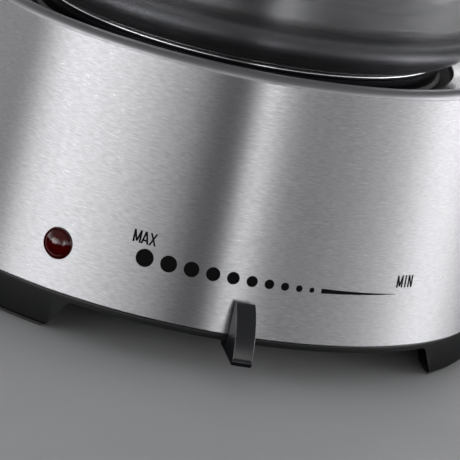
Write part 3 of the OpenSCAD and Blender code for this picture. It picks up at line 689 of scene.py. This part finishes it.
class SiphonFoot(bpy.types.Operator):
    """Black foot ring with its lip and the gap between the feet at the front"""

    bl_idname = "siphon.foot"
    bl_label = "Foot ring"

    def execute(self, context):
        sizes = context.scene.siphon_base
        low_z, top_z = 1.0 * MM, top("foot_ring")
        outer, lip = radius("foot_ring"), low("housing_shell") - 1.8 * MM
        wall_z = low("housing_shell")
        inner, skirt = 64 * MM, 72.5 * MM
        rim_in = radius("housing_shell") - sizes.sheet
        rib_in = rim_in - 2.4 * MM
        round_r = 0.5 * MM
        ring = (
            [(inner, lip)] + arc((outer - round_r, lip + round_r), round_r, -90, 0, 4)
            + arc((outer - round_r, wall_z - round_r), round_r, 0, 90, 4)
            + [(rim_in - 0.4 * MM, wall_z), (rim_in - 0.6 * MM, top_z), (rib_in, top_z)]
            + [(rib_in, wall_z), (inner, wall_z)]
        )
        foot = lathe("foot", ring, 384)
        skirt_outline = (
            [(skirt, low_z)] + arc((outer - 0.8 * MM, low_z + 0.8 * MM), 0.8 * MM, -90, 0, 4)
            + [(outer, lip + 0.7 * MM), (skirt, lip + 0.7 * MM)]
        )
        feet = lathe("feet", skirt_outline, 384)
        half_top, half_foot = outer * math.sin(sizes.gap_top), outer * math.sin(sizes.gap_foot)
        bend = 2 * MM
        gap = (
            [(-half_foot, -MM), (half_foot, -MM)]
            + arc((half_top - bend, lip - bend), bend, 20, 90, 6)
            + arc((bend - half_top, lip - bend), bend, 90, 160, 6)
        )
        gap_cutter = draw_outline("gap", [(x, -40 * MM, z) for x, z in gap])
        bpy.ops.mesh.edge_face_add()
        bpy.ops.mesh.extrude_region_move(TRANSFORM_OT_translate={"value": (0, -60 * MM, 0)})
        bpy.ops.mesh.select_all(action="SELECT")
        bpy.ops.mesh.normals_make_consistent(inside=False)
        bpy.ops.object.mode_set(mode="OBJECT")
        cut(feet, gap_cutter)
        cut(foot, feet, "UNION")
        strip_in, strip_out, strip_top = 74 * MM, 78 * MM, top("antislip_strip")
        channel = lathe(
            "channel", [(strip_in, -MM), (strip_out, -MM), (strip_out, strip_top), (strip_in, strip_top)], 384
        )
        cut(foot, channel)
        finish_piece(foot, "base", finish_of("black_plastic"), ["foot_ring"], 30)
        return {"FINISHED"}


class SiphonLens(bpy.types.Operator):
    """Red lens of the pilot light: a shallow dome with a step at its edge"""

    bl_idname = "siphon.lens"
    bl_label = "Pilot lens"

    def execute(self, context):
        sizes = context.scene.siphon_base
        face = wall_radius(sizes, sizes.lens_height)
        size, rise, hollow = 4.0 * MM, 1.75 * MM, 2.9 * MM
        shoulder = 0.55 * MM
        dome = size - shoulder
        flange, seat, back = size + 1.4 * MM, -1.1 * MM, -2.2 * MM
        ball = (dome ** 2 + rise ** 2) / (2 * rise)
        edge = math.degrees(math.asin(dome / ball))
        outline = (
            [(0, 0.2 * MM), (hollow, -0.4 * MM), (hollow, back), (flange, back)]
            + [(flange, seat), (size, seat), (size, shoulder - 0.2 * MM)]
            + [(size - 0.2 * MM, shoulder), (dome + 0.1 * MM, shoulder)]
            + arc((0, shoulder + rise - ball), ball, 90 - edge, 90, 12)
        )
        lens = lathe("lens", outline, 96, closed=False)
        on_wall(lens, sizes.lens_angle, sizes.lens_height, face)
        finish_piece(lens, "base", finish_of("red_lens"), ["pilot_lens"])
        return {"FINISHED"}


class SiphonLever(bpy.types.Operator):
    """Grip of the thermostat lever: a moulded blade with rounded long edges"""

    bl_idname = "siphon.lever"
    bl_label = "Lever grip"

    def execute(self, context):
        sizes = context.scene.siphon_lever
        low_z, top_z = low("lever_grip"), top("lever_grip")
        front_r, foot_r, top_r = 16 * MM, 1.6 * MM, 1.4 * MM
        back, inner = radius("housing_shell") + 0.9 * MM, radius("housing_shell") - 5 * MM
        under = low("housing_shell") - 2.2 * MM
        front_c = (sizes.reach - front_r - 0.2 * MM, low_z - 1.4 * MM)
        outline = (
            [(inner, low_z + 0.4 * MM), (inner + 0.4 * MM, low_z)]
            + arc((sizes.reach - foot_r, low_z + foot_r), foot_r, -90, 0, 6)
            + arc(front_c, front_r, 12, 60, 14)
            + arc((back + top_r, top_z - top_r), top_r, 75, 180, 6)
            + [(back, under), (inner, under)]
        )
        grip = plate("grip", outline, sizes.width)
        round_edges(grip, 0.95 * MM, 5)
        slot_size = (3.2 * MM, 18 * MM, 1.3 * MM)
        bpy.ops.mesh.primitive_cube_add(
            size=1, scale=slot_size,
            location=(0, -radius("housing_shell") + 2 * MM, low_z + 0.4 * MM + slot_size[2] / 2),
        )
        cut(grip, bpy.context.object)
        grip.rotation_euler.z = sizes.angle
        finish_piece(grip, "lever", finish_of("smoked_plastic"), ["lever_grip"], 36)
        return {"FINISHED"}


class SiphonVessel(bpy.types.Operator):
    """Spun steel vessel on its sandwich base"""

    bl_idname = "siphon.vessel"
    bl_label = "Vessel"

    def execute(self, context):
        sizes = context.scene.siphon_vessel
        wide, low_z, top_z, wall = radius("vessel_body"), low("vessel_body"), top("vessel_body"), sizes.wall
        bead = 1.3 * MM
        corner_c = (wide - sizes.corner, low_z + sizes.corner)
        shoulder_c = (wide - sizes.shoulder, sizes.shoulder_height)
        fillet = 10 * MM
        reach = sizes.shoulder + fillet
        neck_c = (
            sizes.neck + fillet,
            sizes.shoulder_height + math.sqrt(reach ** 2 - (sizes.neck + fillet - shoulder_c[0]) ** 2),
        )
        turn = math.degrees(math.atan2(neck_c[1] - shoulder_c[1], neck_c[0] - shoulder_c[0]))
        outline = (
            [(0, low_z)] + arc(corner_c, sizes.corner, -90, 0, 24)
            + arc(shoulder_c, sizes.shoulder, 0, turn, 28)
            + arc(neck_c, fillet, turn + 180, 180, 12)
            + arc((sizes.neck + 0.4 * MM, top_z - bead), bead, -108, 90, 12)
            + [(sizes.neck - wall + 0.4 * MM, top_z), (sizes.neck - wall, top_z - 0.4 * MM)]
            + arc(neck_c, fillet + wall, 180, turn + 180, 12)
            + arc(shoulder_c, sizes.shoulder - wall, turn, 0, 28)
            + arc(corner_c, sizes.corner - wall, 0, -90, 20)
            + [(0, low_z + wall)]
        )
        vessel = lathe("vessel", outline, 384, closed=False)
        finish_piece(vessel, "carafe", finish_of("vessel_steel"), ["vessel_body"])
        disc_r, disc_z = radius("sandwich_base"), low("sandwich_base")
        edge = 1.3 * MM
        seam = low_z - 1.1 * MM
        disc = (
            [(0, disc_z + 0.25 * MM), (disc_r * 0.4, disc_z + 0.2 * MM), (disc_r - edge, disc_z)]
            + arc((disc_r - edge, disc_z + edge), edge, -90, 0, 8)[1:]
            + [(disc_r, seam - 0.15 * MM), (disc_r - 0.3 * MM, seam), (disc_r, seam + 0.15 * MM)]
            + arc((disc_r - 0.5 * MM, low_z - 0.5 * MM), 0.5 * MM, 0, 90, 4)
            + [(0, low_z)]
        )
        sandwich = lathe("sandwich_disc", disc, 384, closed=False)
        finish_piece(sandwich, "carafe", finish_of("disc"), ["sandwich_base"])
        sandwich.data.materials.append(finish_of("vessel_steel"))
        # Only the top of the disc, under the vessel, takes the vessel's steel; the rest keeps the dark
        # finish, which is painted shade.
        for face in sandwich.data.polygons:
            if face.center.z > low_z - 0.5 * MM:
                face.material_index = 1
        return {"FINISHED"}


class SiphonHandle(bpy.types.Operator):
    """Moulded handle with a tongue between the ears of the neck band"""

    bl_idname = "siphon.handle"
    bl_label = "Handle"

    def execute(self, context):
        sizes = context.scene.siphon_vessel
        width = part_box("handle")[1].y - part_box("handle")[0].y
        half = 7 * MM
        line_z = top("handle") - half
        start = 44 * MM
        bend, lean = sizes.handle_bend, math.degrees(sizes.handle_lean)
        grip = 52 * MM
        bend_c = (start + 40 * MM, line_z - bend)
        down = math.radians(-lean)
        end_c = (
            bend_c[0] + bend * math.cos(down) + grip * math.sin(down),
            bend_c[1] + bend * math.sin(down) - grip * math.cos(down),
        )
        outline = (
            [(start, line_z + half)] + arc(bend_c, bend + half, 90, -lean, 20)
            + arc(end_c, half, -lean, -lean - 180, 12)
            + arc(bend_c, bend - half, -lean, 90, 16) + [(start, line_z - half)]
        )
        handle = plate("handle_grip", outline, width)
        round_edges(handle, 5.2 * MM, 6, 46)
        band_low, band_top = low("handle_band"), top("handle_band")
        tongue_w, tongue_from = 7.8 * MM, 26.2 * MM
        tongue_to = start + 5 * MM
        bpy.ops.mesh.primitive_cube_add(
            size=1, location=(0, -(tongue_from + tongue_to) / 2, (band_low + band_top) / 2),
            scale=(tongue_w, tongue_to - tongue_from, band_top - band_low + MM),
        )
        tongue = bpy.context.object
        place(tongue)
        round_edges(tongue, 0.6 * MM, 3)
        cut(handle, tongue, "UNION")
        handle.rotation_euler.z = math.pi / 2
        finish_piece(handle, "carafe", finish_of("handle_plastic"), ["handle"], 36)
        return {"FINISHED"}


class SiphonFunnel(bpy.types.Operator):
    """Blown glass funnel with its riser tube, rubber seal and collar"""

    bl_idname = "siphon.funnel"
    bl_label = "Funnel"

    def execute(self, context):
        sizes = context.scene.siphon_funnel
        wide, spout_z, top_z = radius("funnel_bowl"), low("funnel_bowl"), top("funnel_bowl")
        glass, curve, spout, fillet = sizes.glass, sizes.bowl_curve, sizes.spout, 6 * MM
        fillet_c = (spout + fillet, spout_z + 2.8 * MM)
        bowl_x = wide - curve
        bowl_c = (bowl_x, fillet_c[1] + math.sqrt((curve + fillet) ** 2 - (fillet_c[0] - bowl_x) ** 2))
        turn = math.degrees(math.atan2(fillet_c[1] - bowl_c[1], fillet_c[0] - bowl_c[0]))
        outline = (
            [(spout, spout_z)] + arc(fillet_c, fillet, 180, 180 + turn, 10)
            + arc(bowl_c, curve, turn, 0, 32)
            + [(wide, top_z - 4 * MM)] + arc((wide - glass / 2, top_z - 1.4 * MM), 1.4 * MM, -20, 200, 14)
            + [(wide - glass, top_z - 4 * MM)] + arc(bowl_c, curve - glass, 0, turn, 32)
            + arc(fillet_c, fillet + glass, 180 + turn, 180, 10) + [(spout - glass, spout_z)]
        )
        bowl = lathe("glass_bowl", outline, 256)
        finish_piece(bowl, "funnel", finish_of("clear_glass"), ["funnel_bowl"], 60)
        stem_r, stem_t, stem_low = 8 * MM, 1.2 * MM, low("riser_tube")
        flange_r = spout - glass - 0.3 * MM
        stem_top = top("riser_tube")
        riser = lathe("riser", [
            (stem_r - stem_t, stem_low), (stem_r - 0.3 * MM, stem_low), (stem_r, stem_low + 0.3 * MM),
            (stem_r, spout_z), (flange_r, spout_z), (flange_r, spout_z + stem_t), (stem_r, spout_z + stem_t),
            (stem_r, stem_top - 0.3 * MM), (stem_r - 0.3 * MM, stem_top), (stem_r - stem_t, stem_top),
        ], 128)
        finish_piece(riser, "funnel", finish_of("vessel_steel"), ["riser_tube"], 40)
        seal_low, seal_top = low("seal_gasket"), top("seal_gasket")
        seal_r, socket_r = radius("seal_gasket"), spout + 0.02 * MM
        neck_top = seal_top - 5.5 * MM
        plug_r, plug_foot = 22.5 * MM, 21.4 * MM
        ribs = 3
        side = [(plug_foot - 0.6 * MM, seal_low), (plug_foot, seal_low + 0.6 * MM)]
        for i in range(ribs):
            middle = seal_low + (neck_top - seal_low) * (i + 0.7) / (ribs + 0.4)
            share = (middle - seal_low) / (neck_top - seal_low)
            core = plug_foot + (plug_r - plug_foot) * share - 0.7 * MM
            side += [(core, middle - 1.1 * MM)]
            side += arc((core, middle), 0.75 * MM, -70, 70, 6)
            side += [(core, middle + 1.1 * MM)]
        seal = lathe("seal", (
            [(stem_r, seal_low)] + side + [(plug_r - 0.7 * MM, neck_top - 0.05 * MM), (plug_r, neck_top)]
            + arc((seal_r - 0.5 * MM, neck_top + 0.5 * MM), 0.5 * MM, -90, 0, 4)
            + arc((seal_r - 0.5 * MM, seal_top - 0.5 * MM), 0.5 * MM, 0, 90, 4)
            + [(socket_r + 3 * MM, seal_top), (socket_r, seal_top - 1.1 * MM)]
            + [(socket_r, spout_z), (stem_r, spout_z)]
        ), 160)
        finish_piece(seal, "funnel", finish_of("grey_silicone"), ["seal_gasket"], 40)
        collar_low, collar_top, collar_r = low("funnel_collar"), top("funnel_collar"), radius("funnel_collar")
        foot_out, bore = 30.5 * MM, 27.2 * MM

        def under_glass(r):
            return bowl_c[1] - math.sqrt((curve + 0.3 * MM) ** 2 - (r - bowl_c[0]) ** 2)

        rests = [collar_r - (0.9 + 8.7 * i / 8) * MM for i in range(9)]
        collar = lathe("collar", (
            [(bore, collar_low), (foot_out - 0.8 * MM, collar_low)]
            + arc((foot_out - 0.8 * MM, collar_low + 0.8 * MM), 0.8 * MM, -90, -20, 5)[1:]
            + arc((collar_r - 0.5 * MM, collar_top - 0.5 * MM), 0.5 * MM, -20, 90, 6)
            + [(r, under_glass(r)) for r in rests if r > bore] + [(bore, under_glass(bore))]
        ), 256)
        finish_piece(collar, "funnel", finish_of("handle_plastic"), ["funnel_collar"])
        return {"FINISHED"}


class SiphonFilterCloth(bpy.types.Operator):
    """Round of flannel stretched over the perforated filter disc"""

    bl_idname = "siphon.filter_cloth"
    bl_label = "Filter cloth"

    def execute(self, context):
        wide, low_z = radius("filter_cloth"), low("filter_cloth")
        thick = 0.5 * MM
        rings = 14
        rows = [(wide * i / rings, low_z + 0.05 * MM) for i in range(rings + 1)]
        cloth = lathe("flannel", rows, 96, closed=False)
        nap = bpy.data.textures.new("nap", "CLOUDS")
        nap.noise_scale = 5 * MM
        modify(
            cloth, "DISPLACE", texture=nap, texture_coords="LOCAL", direction="Z",
            strength=0.12 * MM, mid_level=0.0,
        )
        bpy.ops.object.mode_set(mode="EDIT")
        bpy.ops.mesh.select_all(action="SELECT")
        bpy.ops.mesh.normals_make_consistent(inside=False)
        bpy.ops.object.mode_set(mode="OBJECT")
        if cloth.data.polygons[0].normal.z < 0:
            bpy.ops.object.mode_set(mode="EDIT")
            bpy.ops.mesh.flip_normals()
            bpy.ops.object.mode_set(mode="OBJECT")
        modify(cloth, "SOLIDIFY", thickness=thick, offset=1.0)
        finish_piece(cloth, "filter", finish_of("cotton_cloth"), ["filter_cloth"], 60)
        return {"FINISHED"}


class SiphonLid(bpy.types.Operator):
    """Domed lid with its knob"""

    bl_idname = "siphon.lid"
    bl_label = "Lid"

    def execute(self, context):
        sizes = context.scene.siphon_funnel
        wide, low_z = radius("lid_cover"), top("funnel_bowl") + 0.3 * MM
        edge_z, thick = low_z + 4 * MM, 2.4 * MM
        dome_z = edge_z + sizes.lid_rise
        skirt, skirt_low = radius("funnel_bowl") - sizes.glass - MM, low("lid_cover")
        groove, groove_low, groove_top = 0.7 * MM, low_z - 8.6 * MM, low_z - 6 * MM
        hollow = skirt - 2 * MM

        def dome(edge, edge_height, top_height, steps=16):
            shares = [1 - i / steps for i in range(steps + 1)]
            return [(edge * u, edge_height + (top_height - edge_height) * (1 - u ** 2)) for u in shares]

        outline = (
            [(wide - 0.4 * MM, low_z), (wide, low_z + 0.4 * MM)]
            + arc((wide - 1.4 * MM, edge_z - 1.4 * MM), 1.4 * MM, 0, 84, 6)
            + dome(wide - 2.2 * MM, edge_z + 0.1 * MM, dome_z)
        )
        inside = dome(hollow, edge_z - thick, dome_z - thick)[::-1] + [
            (hollow, skirt_low), (skirt - 0.5 * MM, skirt_low), (skirt, skirt_low + 0.5 * MM),
            (skirt, groove_low), (skirt - groove, groove_low), (skirt - groove, groove_top),
            (skirt, groove_top), (skirt, low_z), (wide - 0.4 * MM, low_z),
        ]
        lid = lathe("lid_shell", outline + inside, 256, closed=False)
        finish_piece(lid, "lid", finish_of("handle_plastic"), ["lid_cover"])
        knob_z = low("lid_knob")
        knob = lathe("knob", (
            [(0, knob_z), (8 * MM, knob_z)]
            + arc((18 * MM, knob_z + 6 * MM), 9.5 * MM, 218, 160, 16)
            + arc((12.5 * MM, knob_z + 12 * MM), 2.5 * MM, -30, 70, 12)
            + arc((0, knob_z - 84 * MM), 100 * MM, 83, 90, 8)
        ), 128, closed=False)
        finish_piece(knob, "lid", finish_of("handle_plastic"), ["lid_knob"])
        return {"FINISHED"}


class SiphonStage(bpy.types.Operator):
    """Plain pale floor, soft studio light all round and the camera"""

    bl_idname = "siphon.stage"
    bl_label = "Stage"

    # Soft light round the object: (angle from the camera towards +X in degrees, radiance)
    LIGHT_ROUND = (
        (-180, 1.4), (-120, 1.2), (-95, 1.25), (-85, 1.05), (-80, 1.25), (-75, 2.1), (-70, 3.4), (-64, 4.3),
        (-55, 4.5), (-45, 4.1), (-35, 3.5), (-25, 2.6), (-15, 1.75), (-9, 1.3), (-4, 0.75), (1, 0.32),
        (9.5, 0.25), (12.5, 0.8), (16, 3.7), (20.5, 3.6), (24.5, 2.1), (30, 1.3), (36, 1.0), (45, 1.0),
        (60, 1.35), (72, 1.9), (82, 2.7), (90, 3.9), (98, 5.1), (110, 5.5), (122, 4.4), (150, 1.5),
    )

    def execute(self, context):
        scene = context.scene
        scene.view_settings.view_transform = "Standard"
        # The camera looks from the front left and a little above, and is rolled to one side.
        aim = Vector((8.88, -2.78, 16.21)) * MM
        distance = 1.208
        azimuth, elevation, roll = (math.radians(turn) for turn in (-17.857, 15.076, 12.414))
        back = Vector((
            math.sin(azimuth) * math.cos(elevation),
            -math.cos(azimuth) * math.cos(elevation),
            math.sin(elevation),
        ))
        bpy.ops.object.camera_add(location=aim + distance * back)
        camera = bpy.context.object
        turn = (-back).to_track_quat("-Z", "Y").to_matrix() @ Matrix.Rotation(roll, 3, "Z")
        camera.rotation_euler = turn.to_euler()
        camera.data.sensor_width = 36
        camera.data.lens = 352.17
        camera.data.clip_start = 0.05
        camera.data.clip_end = 100
        scene.camera = camera
        self.make_floor()
        self.make_light(scene, azimuth)
        return {"FINISHED"}

    def make_floor(self):
        bpy.ops.object.select_all(action="DESELECT")
        bpy.ops.mesh.primitive_plane_add(size=60, location=(0, 0, 0))
        floor = bpy.context.object
        floor.name = "floor"
        material = surface("pale_studio_floor", "b9babb", "b4b5b6", (0.5, 0.6), 40.0)
        tree = material.node_tree
        # Reflections see the floor darker than the eye does, as a black flag laid near it would make it.
        path = add(tree, "LightPath")
        flag = add(tree, "BsdfDiffuse", [("Color", linear("1c1c1e"))])
        # Rays that pass through the glass see the floor as the eye does.
        mirrored = add(
            tree, "Math", [(0, (path, "Is Glossy Ray")), (1, (path, "Is Transmission Ray"))],
            operation="SUBTRACT", use_clamp=True,
        )
        shared = add(
            tree, "MixShader", [("Fac", (mirrored, "Value")), (1, (tree.nodes["Principled BSDF"], "BSDF"))]
        )
        tree.links.new(flag.outputs["BSDF"], shared.inputs[2])
        tree.links.new(shared.outputs["Shader"], tree.nodes["Material Output"].inputs["Surface"])
        floor.data.materials.append(material)

    def make_light(self, scene, azimuth):
        world = bpy.data.worlds.new("soft_studio")
        scene.world = world
        world.use_nodes = True
        tree = world.node_tree
        shown = tree.nodes["Background"]
        place_of = add(tree, "TexCoord")
        parts = add(tree, "SeparateXYZ", [("Vector", (place_of, "Generated"))])
        front = add(tree, "Math", [(0, (parts, "Y")), (1, -1.0)], operation="MULTIPLY")
        turn = add(tree, "Math", [(0, (parts, "X")), (1, (front, "Value"))], operation="ARCTAN2")
        from_camera = add(tree, "Math", [(0, (turn, "Value")), (1, azimuth)], operation="SUBTRACT")
        wrapped = add(
            tree, "Math", [(0, (from_camera, "Value")), (1, math.pi), (2, -math.pi)], operation="WRAP"
        )
        share = add(
            tree, "MapRange", [("Value", (wrapped, "Value")), ("From Min", -math.pi), ("From Max", math.pi)]
        )
        ramp = add(tree, "ValToRGB", [("Fac", (share, "Result"))])
        stops = ramp.color_ramp.elements
        peak, gain = max(light for _, light in self.LIGHT_ROUND), 1.33
        shade_from, shade_to = 0.12, 0.5
        for i, (angle, light) in enumerate(self.LIGHT_ROUND):
            place_on = (angle + 180) / 360
            stop = stops[i] if i < 2 else stops.new(place_on)
            stop.position = place_on
            level = light / peak
            stop.color = (level * 0.99, level * 0.988, level, 1)
        height = add(
            tree, "MapRange", [("Value", (parts, "Z")), ("From Min", shade_from), ("From Max", shade_to)],
            interpolation_type="SMOOTHSTEP",
        )
        overhead = add(
            tree, "Mix",
            [("Factor", (height, "Result")), (6, (ramp, "Color")), (7, (0.03, 0.0302, 0.0305, 1))],
            data_type="RGBA",
        )
        lit = add(tree, "Background", [("Color", (overhead, 2)), ("Strength", peak * gain)])
        shown.inputs["Color"].default_value = linear("dcdddf")
        shown.inputs["Strength"].default_value = 1.0
        path = add(tree, "LightPath")
        seen = add(
            tree, "Math", [(0, (path, "Is Camera Ray")), (1, (path, "Is Transmission Ray"))],
            operation="MAXIMUM",
        )
        mixed = add(
            tree, "MixShader",
            [("Fac", (seen, "Value")), (1, (lit, "Background")), (2, (shown, "Background"))],
        )
        tree.links.new(mixed.outputs["Shader"], tree.nodes["World Output"].inputs["Surface"])


class SIPHON_PT_maker(bpy.types.Panel):
    """Lists the pieces and their sizes"""

    bl_label = "Siphon coffee maker"
    bl_space_type = "VIEW_3D"
    bl_region_type = "UI"
    bl_category = "Siphon Maker"

    def draw(self, context):
        for title, group in (
            ("Heater base", context.scene.siphon_base), ("Printed scale", context.scene.siphon_scale),
            ("Lever", context.scene.siphon_lever), ("Vessel", context.scene.siphon_vessel),
            ("Funnel and lid", context.scene.siphon_funnel), ("Colours", context.scene.siphon_colours),
        ):
            box = self.layout.box()
            box.label(text=title)
            for name in group.bl_rna.properties.keys():
                if name not in ("rna_type", "name"):
                    box.prop(group, name)
        for operator in OPERATORS:
            self.layout.operator(operator.bl_idname)


GROUPS = {
    "siphon_base": SiphonBaseSizes, "siphon_scale": SiphonScaleSizes, "siphon_lever": SiphonLeverSizes,
    "siphon_vessel": SiphonVesselSizes, "siphon_funnel": SiphonFunnelSizes, "siphon_colours": SiphonColours,
}
OPERATORS = (
    SiphonFinishes, SiphonStage, SiphonHousing, SiphonScale, SiphonFoot, SiphonLens, SiphonLever,
    SiphonVessel, SiphonHandle, SiphonFunnel, SiphonFilterCloth, SiphonLid,
)


def register():
    for name, group in GROUPS.items():
        bpy.utils.register_class(group)
        setattr(bpy.types.Scene, name, bpy.props.PointerProperty(type=group))
    for operator in OPERATORS:
        bpy.utils.register_class(operator)
    bpy.utils.register_class(SIPHON_PT_maker)


def unregister():
    bpy.utils.unregister_class(SIPHON_PT_maker)
    for operator in reversed(OPERATORS):
        bpy.utils.unregister_class(operator)
    for name, group in GROUPS.items():
        delattr(bpy.types.Scene, name)
        bpy.utils.unregister_class(group)


def main():
    register()
    for operator in OPERATORS:
        family, name = operator.bl_idname.split(".")
        getattr(getattr(bpy.ops, family), name)()


if __name__ == "__main__":
    main()
